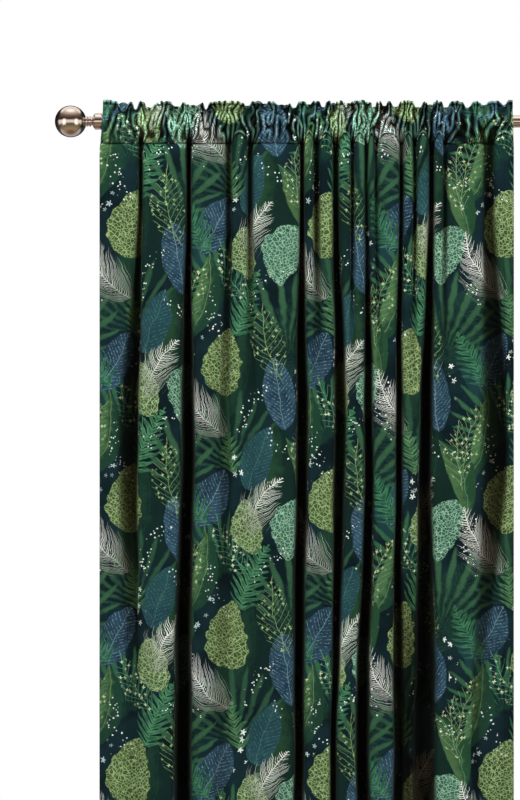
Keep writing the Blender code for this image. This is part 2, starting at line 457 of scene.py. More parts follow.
def section_corners(height, depth_scale):
    """Corner points of a section, left to right, in millimetres: x from the edge, y backwards."""
    corners = [(0.0, 0.0)]
    start, level = 0.0, 0.0
    for left, floor, right, depth, after in folds_at(height):
        depth, after = depth * depth_scale, after * depth_scale
        corners += ridge_corners(start, left, level)
        for share, drop in VALLEY_WALL:
            corners.append((left + share * (floor - left), level + drop * (depth - level)))
        corners.append((floor, depth))
        for share, drop in reversed(VALLEY_WALL):
            corners.append((right - share * (right - floor), after + drop * (depth - after)))
        start, level = right, after
    edge = HUNG_WIDTH / MM
    corners += ridge_corners(start, edge, level)
    corners.append((edge, level))
    return np.array(corners)


def ridge_corners(start, end, level):
    """Shoulders and crown of the ridge between two valleys."""
    width = end - start
    shoulder = min(0.18 * width, 7.0)
    crown = min(0.09 * width, 6.0)
    return [
        (start + shoulder, level - 0.45 * crown),
        (start + 0.5 * width, level - crown),
        (end - shoulder, level - 0.45 * crown),
    ]


print("corner points in a section:", len(section_corners(HEM_Z, 1.0)))

# %% [markdown]
# The corner points are joined by a soft curve. Cloth can't stretch, so the curve has to be
# exactly as long as the panel is wide. The depth of all the valleys is therefore turned up or
# down together until the length is right. Points at even steps along that curve become the
# columns of the mesh, so a column always follows the same thread of the cloth.

# %% Draw one section
COLUMNS = 561
CURVE_STEPS = 8
SHALLOWEST, DEEPEST, HALVINGS = 0.2, 4.0, 24
cloth_across = np.linspace(0.0, CLOTH_WIDTH, COLUMNS)


def soft_curve(corners):
    """A cubic B-spline through the corners' neighbourhood, held at both ends."""
    held = np.vstack([corners[:1]] * 2 + [corners] + [corners[-1:]] * 2)
    t = (np.arange(CURVE_STEPS) / CURVE_STEPS)[None, :, None]
    a, b, c, d = (held[k:len(held) - 3 + k][:, None, :] for k in range(4))
    curve = (
        a * (1 - t) ** 3
        + b * (3 * t ** 3 - 6 * t ** 2 + 4)
        + c * (-3 * t ** 3 + 3 * t ** 2 + 3 * t + 1)
        + d * t ** 3
    ) / 6.0
    return np.vstack([curve.reshape(-1, 2), corners[-1:]])


def lengths_along(curve):
    """The distance from the start of a curve to each of its points."""
    return np.concatenate([[0.0], np.cumsum(np.hypot(*np.diff(curve, axis=0).T))])


def hanging_section(height):
    """x and y in metres of every column at a height, with the cloth's own width kept."""
    low, high = SHALLOWEST, DEEPEST
    for _ in range(HALVINGS):
        scale = (low + high) / 2.0
        if lengths_along(soft_curve(section_corners(height, scale)))[-1] < CLOTH_WIDTH / MM:
            low = scale
        else:
            high = scale
    curve = soft_curve(section_corners(height, scale))
    along = lengths_along(curve)
    wanted = cloth_across / CLOTH_WIDTH * along[-1]
    x = np.interp(wanted, along, curve[:, 0]) * MM - HUNG_WIDTH / 2.0
    y = np.interp(wanted, along, curve[:, 1]) * MM
    return x, y, scale


for height, _ in FOLD_HEIGHTS:
    _, depth, scale = hanging_section(height)
    print("section at", height, "deepest", round(depth.max() * 1000), "mm, scale", round(scale, 2))

# %% [markdown]
# ## The gathers of the casing
#
# On the rod the whole width of the cloth is pushed together into small wrinkles. Where the
# cloth has more length than the casing has room, the wrinkles are deeper. They run up from the
# valleys and fan out, because at the lower stitches the cloth is bunched where it falls into a
# valley and on the rod it is spread evenly. The upper stitches pinch it together once more, in
# the middle between every two dips of the frill.

# %% Spread the cloth over the casing
CASING_LEFT, CASING_RIGHT = -0.4780, 0.4820
EDGE_SLOPE = 0.00005
WRINKLE_LENGTH = 0.024
PINCH_HEIGHT, PINCH_REACH, PINCH = 25.0, 17.0, 0.86
LONGEST_PITCH = 0.066
FRILL_DIPS = (
    # place from the left edge, half width, top and rim above the stitches, in millimetres
    (48, 13, 21, 1),
    (77, 7, 4, 1),
    (110, 12, 9, 2),
    (175, 13, 11, 5),
    (213, 22, 14, 9),
    (243, 7, 4, 2),
    (340, 9, 13, 8),
    (382, 6, 19, 12),
    (424, 18, 15, 9),
    (450, 10, 7, 5),
    (485, 6, 17, 10),
    (518, 7, 10, 3),
    (543, 6, 20, 0),
    (577, 8, 20, 8),
    (638, 6, 10, -1),
    (663, 7, 13, 6),
    (689, 11, 11, 5),
    (742, 9, 10, -4),
    (771, 7, 16, -1),
    (807, 8, 9, -3),
    (859, 10, 8, 5),
    (897, 8, 15, 8),
    (947, 8, 14, 8),
)
EVENING = 61
top_x, top_y, _ = hanging_section(FOLD_HEIGHTS[0][0])


def evened(values, width):
    """The values averaged over a run of columns, so that they change softly."""
    padded = np.pad(values, width // 2, mode="edge")
    return np.convolve(padded, np.ones(width) / width, mode="valid")


even_share = cloth_across / CLOTH_WIDTH
hung_share = (top_x + HUNG_WIDTH / 2.0) / HUNG_WIDTH
pull = evened(evened(hung_share - even_share, EVENING), EVENING)
pull *= soft_share(cloth_across, 0.0, 0.10) * soft_share(CLOTH_WIDTH - cloth_across, 0.0, 0.10)
gathered_share = even_share + pull
end_calm = soft_share(cloth_across, 0.0, 0.05) * soft_share(CLOTH_WIDTH - cloth_across, 0.0, 0.04)


def uneven(distance, length, seed):
    """A smooth value between about -1 and 1 that never quite repeats."""
    turn = 2.0 * math.pi * distance / length
    return (
        0.55 * np.sin(turn + seed)
        + 0.30 * np.sin(0.618 * turn + 2.3 * seed)
        + 0.25 * np.sin(1.71 * turn + 0.7 * seed)
    )


even_place = gathered_share * HUNG_WIDTH / MM
dip_place, dip_half, dip_top, dip_rim = np.array(FRILL_DIPS, dtype=float).T
dips_on_cloth = np.interp(dip_place, even_place, cloth_across)
pinches_on_cloth = (dips_on_cloth[1:] + dips_on_cloth[:-1]) / 2.0
first_pinch = 2.0 * dips_on_cloth[0] - pinches_on_cloth[0]
last_pinch = CLOTH_WIDTH - 0.01
turning_places = np.sort([first_pinch, *dips_on_cloth, *pinches_on_cloth, last_pinch])
pinch_turns = np.interp(cloth_across, turning_places, 0.5 * np.arange(len(turning_places)))
pitch = 1.0 / np.maximum(np.gradient(pinch_turns, cloth_across), 1.0 / LONGEST_PITCH)


def casing_x(evenness, height):
    """x of every column when the cloth is spread over the casing, bunched or evenly."""
    share = hung_share + (gathered_share - hung_share) * evenness
    left = CASING_LEFT + EDGE_SLOPE * height
    pinch = PINCH * bell(height, PINCH_HEIGHT, PINCH_REACH) / (2.0 * math.pi)
    bunch = pinch * np.sin(2.0 * math.pi * pinch_turns) * pitch * end_calm
    return left + (CASING_RIGHT - left) * share - bunch * HUNG_WIDTH / CLOTH_WIDTH


def wrinkle_height(evenness, height):
    """How far the wrinkles must stand out to take up the cloth's spare length, per column."""
    spread = np.gradient(casing_x(evenness, height), cloth_across)
    spare = np.sqrt(np.clip(1.0 - spread ** 2, 0.02, 1.0))
    return 0.225 * WRINKLE_LENGTH * evened(spare, 13)


print("pinches along the upper stitches:", len(pinches_on_cloth))

# %% [markdown]
# Real wrinkles start, fork and run into each other. Many waves of different lengths, each a
# little tilted and bent, are added up, and every line where the sum passes zero becomes a sharp
# crest. Such lines fork and meet by themselves. The sum divided by its own slope is about the
# distance to the nearest crest, which keeps all crests equally thin.

# %% Draw the wrinkles
WAVES = 20
CREST_REACH = 0.0110
CREST_LINE = 0.0018
chance = np.random.default_rng(5)
wave_lengths = chance.uniform(0.024, 0.070, WAVES)
wave_tilts = chance.normal(0.0, 4.5, WAVES)
wave_bends = chance.normal(0.0, 1.1, WAVES)
wave_starts = chance.uniform(0.0, 1.0, WAVES)


def wave_sum(height):
    """The sum of all the waves at a height, for every column."""
    total = np.zeros(COLUMNS)
    for length, tilt, bend, begin in zip(wave_lengths, wave_tilts, wave_bends, wave_starts):
        turns = cloth_across / length + tilt * height + begin
        total += np.cos(2.0 * math.pi * turns + bend * math.sin(60.0 * height + 20.0 * begin))
    return total


def crest_distance(height):
    """About how far each column is from the nearest crest at a height, in metres of cloth."""
    total = wave_sum(height)
    slope_across = np.gradient(total, cloth_across)
    slope_up = (wave_sum(height + MM) - total) / MM
    return np.abs(total) / np.sqrt(slope_across ** 2 + slope_up ** 2 + 1.0)


def crest_ridge(distance):
    """1 on a crest, falling to 0 where its slopes end."""
    return np.clip(1.0 - distance / CREST_REACH, 0.0, 1.0)


print("waves added up for the wrinkles:", WAVES)

# %% [markdown]
# ## Arches over the narrow folds
#
# Where a fold is narrow, the lower stitches are pulled up over it, and the fold comes out of
# the casing under a small arch. Over the broad folds the stitches run straight.

# %% Raise the stitches over narrow folds
NARROW_FOLD = 46.0
ARCH_RISE = 0.024
hung_place = (top_x + HUNG_WIDTH / 2.0) / MM
arch_rise = np.zeros(COLUMNS)
valley_edges = [edge for left, _, right, _, _ in FOLDS_TOP for edge in (left, right)]
fold_edges = [0.0, *valley_edges, HUNG_WIDTH / MM]
for start, end in zip(fold_edges[::2], fold_edges[1::2]):
    if end - start < NARROW_FOLD:
        from_middle = (hung_place - (start + end) / 2.0) / ((end - start) / 2.0 + 2.0)
        arch_rise += ARCH_RISE * np.clip(1.0 - from_middle ** 2, 0.0, 1.0) ** 0.6
print("columns under arches:", int((arch_rise > 0.004).sum()))

# %% [markdown]
# ## The rows of the panel
#
# The panel is one grid. It starts at the hem, climbs the front, passes over the frill and comes
# down the back of the casing to the lower stitches. Each row of the table holds the height, the
# place of the cloth in front of or behind the rod, how much of the hanging folds it has, how
# evenly the cloth is spread there, how strong the wrinkles are and which way they stand out.

# %% Rows of the heading
BODY_PLANE = -20.0
HEADING_ROWS = (
    # height, place, folds, evenness, wrinkles, way out
    (-160.0, BODY_PLANE, 1.00, 0.00, 0.00, -1.0),
    (-135.0, BODY_PLANE, 1.00, 0.00, 0.05, -1.0),
    (-115.0, BODY_PLANE, 0.98, 0.00, 0.10, -1.0),
    (-98.0, -20.4, 0.95, 0.00, 0.16, -1.0),
    (-85.0, -20.8, 0.91, 0.01, 0.22, -1.0),
    (-75.0, -20.6, 0.86, 0.02, 0.28, -1.0),
    (-67.0, -19.4, 0.79, 0.03, 0.34, -1.0),
    (-61.0, -17.4, 0.71, 0.05, 0.40, -1.0),
    (-57.0, -14.8, 0.63, 0.07, 0.44, -1.0),
    (-54.5, -12.0, 0.57, 0.09, 0.47, -1.0),
    (-52.5, -9.6, 0.52, 0.11, 0.50, -1.0),
    (-50.5, -11.0, 0.47, 0.14, 0.62, -1.0),
    (-48.0, -12.6, 0.41, 0.19, 0.78, -1.0),
    (-44.0, -13.8, 0.33, 0.29, 0.96, -1.0),
    (-39.5, -14.6, 0.24, 0.42, 1.10, -1.0),
    (-34.5, -15.2, 0.15, 0.55, 1.18, -1.0),
    (-29.5, -15.6, 0.08, 0.66, 1.24, -1.0),
    (-24.0, -15.9, 0.03, 0.75, 1.28, -1.0),
    (-18.5, -16.0, 0.01, 0.82, 1.30, -1.0),
    (-13.0, -16.0, 0.00, 0.87, 1.30, -1.0),
    (-7.5, -16.2, 0.00, 0.91, 1.28, -1.0),
    (-2.0, -16.4, 0.00, 0.94, 1.26, -1.0),
    (3.0, -16.0, 0.00, 0.96, 1.24, -1.0),
    (8.0, -13.8, 0.00, 0.98, 1.18, -1.0),
    (12.5, -11.0, 0.00, 0.99, 1.10, -1.0),
    (17.0, -7.8, 0.00, 1.00, 0.98, -1.0),
    (21.0, -5.0, 0.00, 1.00, 0.86, -1.0),
    (25.0, -2.2, 0.00, 1.00, 0.78, -1.0),
    (28.5, -3.0, 0.00, 1.00, 0.84, -1.0),
    (32.5, -3.8, 0.00, 1.00, 0.92, -1.0),
    (37.0, -4.0, 0.00, 1.00, 0.98, -1.0),
    (41.0, -3.4, 0.00, 1.00, 1.00, -1.0),
    (44.5, -2.7, 0.00, 1.00, 1.00, -1.0),
    (47.2, -2.0, 0.00, 1.00, 1.00, -1.0),
    (49.2, -1.2, 0.00, 1.00, 1.00, -1.0),
    (50.0, 0.0, 0.00, 1.00, 1.00, -1.0),
    (49.0, 1.3, 0.00, 1.00, 1.00, -1.0),
    (44.5, 2.8, 0.00, 1.00, 1.00, -1.0),
    (37.5, 3.8, 0.00, 1.00, 0.96, -1.0),
    (31.0, 3.4, 0.00, 1.00, 0.86, -1.0),
    (25.0, 2.2, 0.00, 1.00, 0.70, -1.0),
    (20.0, 5.8, 0.00, 0.99, 0.55, -0.6),
    (13.0, 10.8, 0.00, 0.97, 0.70, 0.2),
    (4.0, 15.9, 0.00, 0.92, 1.00, 1.0),
    (-8.0, 16.6, 0.00, 0.84, 1.10, 1.0),
    (-20.0, 15.0, 0.04, 0.70, 0.90, 0.9),
    (-31.0, 9.5, 0.14, 0.52, 0.60, 0.2),
    (-41.0, 1.5, 0.28, 0.32, 0.50, -0.7),
    (-49.5, -5.4, 0.40, 0.15, 0.54, -1.0),
)
UPPER_STITCH = 25.0
FRILL_LENGTH = FRILL_TOP - UPPER_STITCH * MM
BODY_ROWS = 32
print("rows in the heading:", len(HEADING_ROWS))

# %% [markdown]
# The frill fans out above every pinch into a broad hump, which leans forwards a little, more on
# one side than on the other. In every dip it rolls over forwards. Some dips are low all through.
# In others only the rim hangs down in a loop, and the cloth behind it stays high.

# %% Roll of the frill
HUMP_ROLL = (0.35, 0.85)
SHOULDER_ROLL, SHOULDER_FADE = 1.15, 1.5
SMALLEST_ROLL = 0.06
DIP_CORE, DIP_END = 0.12, 1.20
LOOP_REACH, SHORTEST_REACH, LONGEST_REACH = 0.011, 0.005, 0.009
LOOP_NEARNESS, FULL_SAG_CURL = 2.0, 2.9
shoulders = np.sort(np.concatenate([dip_place - dip_half, dip_place + dip_half]))
hump_roll = np.interp(even_place, shoulders, chance.uniform(*HUMP_ROLL, len(shoulders)))
away = np.abs(even_place[:, None] - dip_place) / dip_half
hump_roll += SHOULDER_ROLL * np.exp(-away.min(axis=1) / SHOULDER_FADE)
hump_roll = np.maximum(hump_roll * end_calm, SMALLEST_ROLL)
in_dip = (1.0 - np.prod(soft_share(away, DIP_CORE, DIP_END), axis=1)) * end_calm
nearness = np.exp(-LOOP_NEARNESS * away ** 2)
nearness /= nearness.sum(axis=1, keepdims=True)
loop_top = nearness @ dip_top * MM
loop_reach = np.clip(LOOP_REACH - 0.3 * loop_top, SHORTEST_REACH, LONGEST_REACH)
loop_turn = nearness @ (math.pi - np.arcsin(np.clip(dip_rim / dip_top, -0.9, 0.95)))
frill_curl = hump_roll + (loop_turn - hump_roll) * in_dip
frill_sag = np.clip(frill_curl / FULL_SAG_CURL, 0.0, 1.0)
print("the frill curls up to", round(math.degrees(np.abs(frill_curl).max())), "degrees")

# %% [markdown]
# ## The panel's surface
#
# First come the marks that run along the cloth's edges and stitches: the line where each side
# hem ends, which gets a groove and painted shade, the doubled cloth outside it, and the painted
# shade and waver of the lower stitches.

# %% Hems and stitches
SIDE_HEM, BOTTOM_HEM = 0.023, 0.030
HEM_LINE_WIDTH = 0.0016
STITCH_SHADE, STITCH_WAVE = 0.030, 0.0015
from_edge = np.minimum(cloth_across, CLOTH_WIDTH - cloth_across)
hem_line = bell(from_edge, SIDE_HEM, HEM_LINE_WIDTH)
hem_double = 1.0 - soft_share(from_edge, SIDE_HEM - 0.002, SIDE_HEM)
narrow = np.clip(arch_rise / ARCH_RISE, 0.0, 1.0)
# Painted shade along the lower stitches, stronger in some places than in others.
stitch_painted_shade = STITCH_SHADE * np.clip(0.85 + 0.30 * uneven(cloth_across, 0.07, 5.0), 0.5, 1.0)
stitch_rise = arch_rise + STITCH_WAVE * uneven(cloth_across, 0.15, 3.7)
print("the lower stitches rise up to", round(float(stitch_rise.max()) * 1000), "mm")

# %% [markdown]
# A row of the hanging cloth is one section. Broad folds of real velvet are never quite flat, so
# soft ripples run down them, strongest near the casing and almost gone at the hem.

# %% Rows of the hanging cloth
HEM_GROOVE, HEM_SHADE = 0.0009, 0.007
SIDE_HEM_LIFT, BOTTOM_HEM_LIFT = 0.0008, 0.0007
RIPPLE = 0.0015


def body_row(height):
    """One row of the hanging cloth: x, y, z, depth for painted shade and painted crest light."""
    x, y, _ = hanging_section(height)
    # deep is the depth behind the ridges, which becomes painted shade in the valleys, plus painted shade
    # along the side hem line.
    deep = np.maximum(y, 0.0) + HEM_SHADE * hem_line
    fade = 0.35 + 0.65 * math.exp((height + 0.16) / 0.5)
    ripple = uneven(cloth_across + 0.012 * math.sin(3.1 * height), 0.046, 2.0 * height)
    ripple += 0.6 * uneven(cloth_across, 0.105, 1.4 + 1.1 * height)
    y = y + BODY_PLANE * MM - RIPPLE * fade * ripple
    y = y + HEM_GROOVE * hem_line - SIDE_HEM_LIFT * hem_double
    if height < HEM_Z + BOTTOM_HEM:
        y = y - BOTTOM_HEM_LIFT
    return np.stack([x, y, np.full(COLUMNS, height), deep, np.zeros(COLUMNS)], axis=1)


print("places worked out in a row:", body_row(HEM_Z).shape)

# %% [markdown]
# Above the upper stitches the cloth rolls forwards about a level line. A hump rolls a little,
# and a dip goes far round in a loop of its own height and reach.

# %% Roll the frill over
STITCH_STRENGTH = 0.78
CREST_SHARPNESS = 1.5
WRINKLE_FADE, WRINKLE_RISE = 0.7, 0.35


def rolled_frill(y, height):
    """y and z of a row above the upper stitches, rolled forwards, most of all in the dips."""
    ridge = crest_ridge(crest_distance(UPPER_STITCH * MM))
    stitch_tall = 2.0 * wrinkle_height(1.0, UPPER_STITCH) * STITCH_STRENGTH
    stitch_y = -stitch_tall * ridge ** CREST_SHARPNESS
    share = (height - UPPER_STITCH) * MM / FRILL_LENGTH
    reach = FRILL_LENGTH / hump_roll
    forward = reach * (1.0 - np.cos(share * hump_roll))
    upward = reach * np.sin(share * hump_roll)
    forward += (loop_reach * (1.0 - np.cos(share * loop_turn)) - forward) * in_dip
    upward += (loop_top * np.sin(share * loop_turn) - upward) * in_dip
    turn = share * frill_curl
    out = (y - stitch_y) * (1.0 - WRINKLE_FADE * frill_sag)
    z = UPPER_STITCH * MM + WRINKLE_RISE * out * np.sin(turn) + upward
    return stitch_y + out * np.cos(turn) - forward, z


print("the frill is", round(FRILL_LENGTH * 1000), "mm from the stitches to its rim")

# %% [markdown]
# In a row of the heading the hung place and the gathered place of each thread are blended, and
# then the wrinkles push it outwards. The troughs between wrinkles and the lower stitches get
# painted shade, and the crests, the arches over narrow folds and the rim of the frill get a
# painted highlight, with a band of painted shade under the rim.

# %% Rows of the casing and the frill
SWELL, HEADING_GROOVE, FRILL_SAG = 0.0022, 0.0008, 0.003
LOWER_STITCH, STITCH_WIDTH = -52.5, 1.8
TROUGH_SHADE, RIM_SHADE = 0.027, 0.020
RIM_START, RIM_FULL = 45.0, 47.2
RIM_LIGHT, RIM_LIGHT_BEHIND = 0.75, 0.2


def heading_row(height, place, folds, evenness, strength, way):
    """One row of the casing or the frill, with the same five numbers for each point."""
    gathered = casing_x(evenness, height)
    x = gathered + (top_x - gathered) * folds
    z = np.full(COLUMNS, height * MM)
    distance = crest_distance(height * MM)
    ridge = crest_ridge(distance)
    tall = 2.0 * wrinkle_height(evenness, height) * strength * (0.25 + 0.75 * end_calm)
    swell = SWELL * (1.0 - folds) * uneven(cloth_across, 0.12, 28.0 * height * MM + 2.0)
    y = place * MM + top_y * folds + way * tall * ridge ** CREST_SHARPNESS
    y = y + swell + HEADING_GROOVE * hem_line
    gathers = min(strength, 1.0) * (1.0 - folds) * np.clip(tall / 0.006, 0.0, 1.0)
    # deep becomes painted shade: in the valleys below the casing, in the troughs between wrinkles, along
    # the lower stitches and along the hem line.
    deep = np.maximum(top_y, 0.0) * soft_share(-height, 26.0, 48.0) + HEM_SHADE * hem_line
    deep = deep + TROUGH_SHADE * gathers * (1.0 - soft_share(ridge, 0.0, 0.7))
    deep = deep + stitch_painted_shade * bell(height, LOWER_STITCH, STITCH_WIDTH)
    # lit becomes a painted highlight: thin lines on the crests of the wrinkles, fading in and out along the
    # row, and a line along each arch over a narrow fold.
    fading = np.clip(0.62 + 0.55 * uneven(cloth_across, 0.083, 70.0 * height * MM), 0.15, 1.0)
    lit = gathers * fading * bell(distance, 0.0, CREST_LINE)
    lit = np.maximum(lit, narrow * bell(height, LOWER_STITCH + 4.5, 2.0))
    if height > UPPER_STITCH:
        y, z = rolled_frill(y, height)
        # A painted highlight along the rim of the frill, weaker behind, and under it in front a band of
        # painted shade.
        rim = RIM_LIGHT if place <= 0.0 else RIM_LIGHT_BEHIND
        rim = rim * soft_share(height, RIM_START, RIM_FULL)
        lit = np.maximum(lit * (1.0 - soft_share(height, 40.0, 46.0)), rim)
        if place < 0.0:
            deep = deep + RIM_SHADE * bell(height, 42.0, 2.8)
    if place < 0.0 or height < -35.0:
        z = z + stitch_rise * bell(height, -46.0, 34.0)
    z = z - FRILL_SAG * frill_sag * soft_share(height, -5.0, UPPER_STITCH)
    return np.stack([x, y, z, deep, lit], axis=1)


print("the rim catches light from", RIM_START, "mm above the rod")

# %% [markdown]
# All the rows together are the panel. The distance climbed up the cloth from row to row places
# the print later.

# %% Work out every point
body_heights = np.linspace(HEM_Z, HEADING_ROWS[0][0] * MM, BODY_ROWS + 1)[:-1]
hem_heights = [HEM_Z, HEM_Z + BOTTOM_HEM - 0.003, HEM_Z + BOTTOM_HEM + 0.001]
body_heights = np.concatenate([hem_heights, body_heights[1:]])
panel_rows = [body_row(height) for height in body_heights]
panel_rows += [heading_row(*row) for row in HEADING_ROWS]
panel_rows = np.array(panel_rows)
panel_points, painted_shade_depth, crest_light = panel_rows[:, :, :3], panel_rows[:, :, 3], panel_rows[:, :, 4]
climb = np.linalg.norm(np.diff(panel_points, axis=0), axis=2)
climbed = np.concatenate([[0.0], np.cumsum(np.median(climb, axis=1))])
print("panel grid:", panel_points.shape[:2], "climbed", round(float(climbed[-1]), 3), "m")

# %% [markdown]
# ## The panel as a mesh
#
# A grid is made in one call, its points are moved to their places, and each corner of each face
# is told where it lies on the flat cloth. Solidify then gives the sheet the thickness of velvet.

# %% Build the panel
CLOTH_THICKNESS = 0.0017
ROWS = len(panel_points)
panel_mesh = bpy.data.meshes.new("velvet_panel")
panel_form = bmesh.new()
bmesh.ops.create_grid(panel_form, x_segments=COLUMNS - 1, y_segments=ROWS - 1, size=0.5)
flat_place = panel_form.loops.layers.uv.new("cloth")
# Each point carries two numbers for the velvet: a depth that becomes painted shade, and the painted crest
# light.
painted_shade_layer = panel_form.verts.layers.float.new("painted_shade_depth")
light_on_crest = panel_form.verts.layers.float.new("crest_light")
places = {}
for vertex in panel_form.verts:
    column = round((vertex.co.x + 0.5) * (COLUMNS - 1))
    row = round((vertex.co.y + 0.5) * (ROWS - 1))
    places[vertex] = (cloth_across[column], climbed[row])
    vertex.co = panel_points[row, column]
    vertex[painted_shade_layer] = painted_shade_depth[row, column]
    vertex[light_on_crest] = crest_light[row, column]
for face in panel_form.faces:
    for loop in face.loops:
        loop[flat_place].uv = places[loop.vert]
panel_form.to_mesh(panel_mesh)
panel_form.free()
panel = add_object("velvet_panel", panel_mesh)
panel_mesh.shade_smooth()
thickness = panel.modifiers.new("cloth_thickness", "SOLIDIFY")
thickness.thickness = CLOTH_THICKNESS
thickness.offset = 0.0
thickness.material_offset = 1
print("faces before thickness:", len(panel_mesh.polygons))

# %% [markdown]
# ## The dyes
#
# A dye is written the way it looks on a screen. It is dulled a little, because a printed pile is
# never as bright as its dyes.

# %% Mix a dye
DULLING = 0.26


def dye(red, green, blue):
    """A colour as it looks on a screen, 0 to 255, dulled a little, as a shader's linear colour."""
    grey = 0.25 * red + 0.60 * green + 0.15 * blue
    screen = ((value + (grey - value) * DULLING) / 255.0 for value in (red, green, blue))
    linear = [v / 12.92 if v <= 0.04045 else ((v + 0.055) / 1.055) ** 2.4 for v in screen]
    return (*linear, 1.0)


print("dark teal is", [round(v, 3) for v in dye(8, 28, 34)])

# %% [markdown]
# ## The repeat
#
# The cloth is printed with a half-drop repeat: each next strip of the pattern is moved down by
# half its height, so that no row of the same leaf shows across the cloth. Every motif asks for
# its own place in the repeat, and gets its distance along its stalk and across it, in metres.

# %% Place a motif in the repeat
STRIP, REPEAT = 0.325, 0.640
HAND_SWAY = 0.022
VECTORS = "ShaderNodeVectorMath"
velvet, velvet_tree, velvet_shader = new_material("printed_velvet")
cloth_uv = Wire(adjust(velvet_tree.nodes.new("ShaderNodeUVMap"), uv_map="cloth").outputs["UV"])
hand = adjust(velvet_tree.nodes.new("ShaderNodeTexNoise"), Vector=cloth_uv, Scale=17.0, Detail=3.5)
sway = calc("SUBTRACT", Wire(hand.outputs["Color"]), (0.5, 0.5, 0.5), kind=VECTORS)
flat_cloth = calc("MULTIPLY_ADD", sway, (HAND_SWAY, HAND_SWAY, 0.0), cloth_uv, kind=VECTORS)


def place_motif(u, v, degrees):
    """Distances along and across a motif's stalk, from the nearest copy's middle."""
    x, y, _ = parts_of(calc("SUBTRACT", flat_cloth, (u, v, 0.0), kind=VECTORS))
    near_x = calc("WRAP", x, STRIP / 2, -STRIP / 2)
    dropped = calc("MULTIPLY_ADD", x - near_x, -REPEAT / 2 / STRIP, y)
    near_y = calc("WRAP", dropped, REPEAT / 2, -REPEAT / 2)
    turn = math.radians(degrees)
    along = calc("MULTIPLY_ADD", near_x, math.cos(turn), near_y * math.sin(turn))
    across = calc("MULTIPLY_ADD", near_y, math.cos(turn), near_x * -math.sin(turn))
    return along, across


print("one copy of the print:", STRIP, "by", REPEAT, "m")

# %% [markdown]
# ## Small things that fill the motifs
#
# A net of fine veins, tiny blossoms and strings of berries are each made once for the whole
# cloth with a cell texture, and the uneven dye with noise. The motifs then only choose where
# they show.

# %% Net, blossoms and berries
def noise(scale, detail):
    """A smooth random value over the flat cloth."""
    node = velvet_tree.nodes.new("ShaderNodeTexNoise")
    return Wire(adjust(node, Vector=flat_cloth, Scale=scale, Detail=detail).outputs["Fac"])


def cells(scale, **settings):
    """The outputs of a cell texture laid on the flat cloth, by name."""
    node = velvet_tree.nodes.new("ShaderNodeTexVoronoi")
    return adjust(node, Vector=flat_cloth, Scale=scale, **settings).outputs


def fall(value, low, high):
    """1 below low, 0 above high and a soft step between them."""
    return 1.0 - rise(value, low, high)


def blossom_print(cells_per_metre, petals, size):
    """Little flowers, one in each cell of a cell texture."""
    cell = cells(cells_per_metre, Randomness=0.75)
    x, y, _ = parts_of(calc("SUBTRACT", flat_cloth, Wire(cell["Position"]), kind=VECTORS))
    angle = calc("ARCTAN2", y, x)
    reach = calc("MULTIPLY_ADD", calc("COSINE", angle * petals), 0.30 * size, 0.62 * size)
    return fall(Wire(cell["Distance"]) / reach, 0.80, 1.05)


brush, wash, fine_brush = noise(60.0, 3.0), noise(9.0, 2.0), noise(210.0, 2.0)
net_lines = fall(Wire(cells(125.0, feature="DISTANCE_TO_EDGE")["Distance"]), 0.015, 0.095)
small_blossoms = blossom_print(88.0, 4.0, 0.42)
large_blossoms = blossom_print(52.0, 5.0, 0.44)
berries = fall(Wire(cells(122.0, Randomness=0.95)["Distance"]), 0.17, 0.27)
print("fillings ready")

# %% [markdown]
# ## The motifs
#
# Each kind of motif is a function. Its outline is a sine arch along the stalk: one power moves
# the widest place up or down and another makes the ends blunt or pointed. What lies inside the
# outline is drawn with lines that run out from the stalk, each a zigzag of the distance along.

# %% Parts of a motif
def bent(place, bend):
    """Distances along and across a stalk that is bent to one side."""
    along, across = place
    return along, calc("MULTIPLY_ADD", along * along, bend, across)


def outline(along, length, width, lean, blunt):
    """Half the motif's width at each place along its stalk."""
    share = calc("ADD", along / length, 0.5)
    share.socket.node.use_clamp = True
    arch = calc("POWER", calc("SINE", calc("POWER", share, lean) * math.pi), blunt)
    return calc("MULTIPLY_ADD", arch, width / 2, 0.00002)


def ribs(along, across, slant, spacing, thin):
    """Lines that run out from the stalk at a slant."""
    walk = calc("MULTIPLY_ADD", abs(across), -slant, along)
    return fall(calc("PINGPONG", walk, spacing / 2), thin * 0.4, thin)


print("parts of a motif ready")

# %% [markdown]
# The whole leaves come first. Every way to draw takes the colour so far, the place, the length
# and width, where the motif is widest, and as many dyes as it needs.

# %% Draw leaves
def net_leaf(colour, place, length, width, lean, dark, light, line):
    """A lobed leaf with a net of fine veins."""
    along, across = bent(place, 2.4)
    lobes = calc("MULTIPLY_ADD", calc("COSINE", along * (2.0 * math.pi / 0.030)), 0.045, 0.96)
    inside = outline(along, length, width, lean, 0.60) * lobes - abs(across)
    body = paint_over(dark, light, rise(wash + brush, 0.7, 1.3))
    fine = ribs(along, across, 0.8, 0.019, 0.0009)
    body = paint_over(body, line, calc("MAXIMUM", net_lines * 0.85, fine * 0.9))
    return paint_over(colour, body, rise(inside, 0.0, 0.0016))


def rib_leaf(colour, place, length, width, lean, dark, light, line):
    """An oval leaf with broken ribs out from its stalk."""
    along, across = place
    inside = outline(along, length, width, lean, 0.55) - abs(across)
    body = paint_over(dark, light, rise(wash + brush, 0.75, 1.25))
    fine = ribs(along, across, 0.9, 0.0100, 0.0011) * rise(fine_brush, 0.44, 0.60)
    stalk = fall(abs(across), 0.0003, 0.0011)
    body = paint_over(body, line, calc("MAXIMUM", fine * 0.9, stalk * 0.6))
    return paint_over(colour, body, rise(inside, 0.0, 0.0022))


def long_leaf(colour, place, length, width, lean, dark, light, line):
    """A long pointed leaf with a single line down its middle."""
    along, across = bent(place, -2.2)
    inside = outline(along, length, width, lean, 0.95) - abs(across)
    body = paint_over(dark, light, rise(calc("MULTIPLY_ADD", across, 18.0, brush), 0.3, 0.9))
    body = paint_over(body, line, fall(abs(across), 0.0003, 0.0013) * 0.7)
    return paint_over(colour, body, rise(inside, 0.0, 0.003))


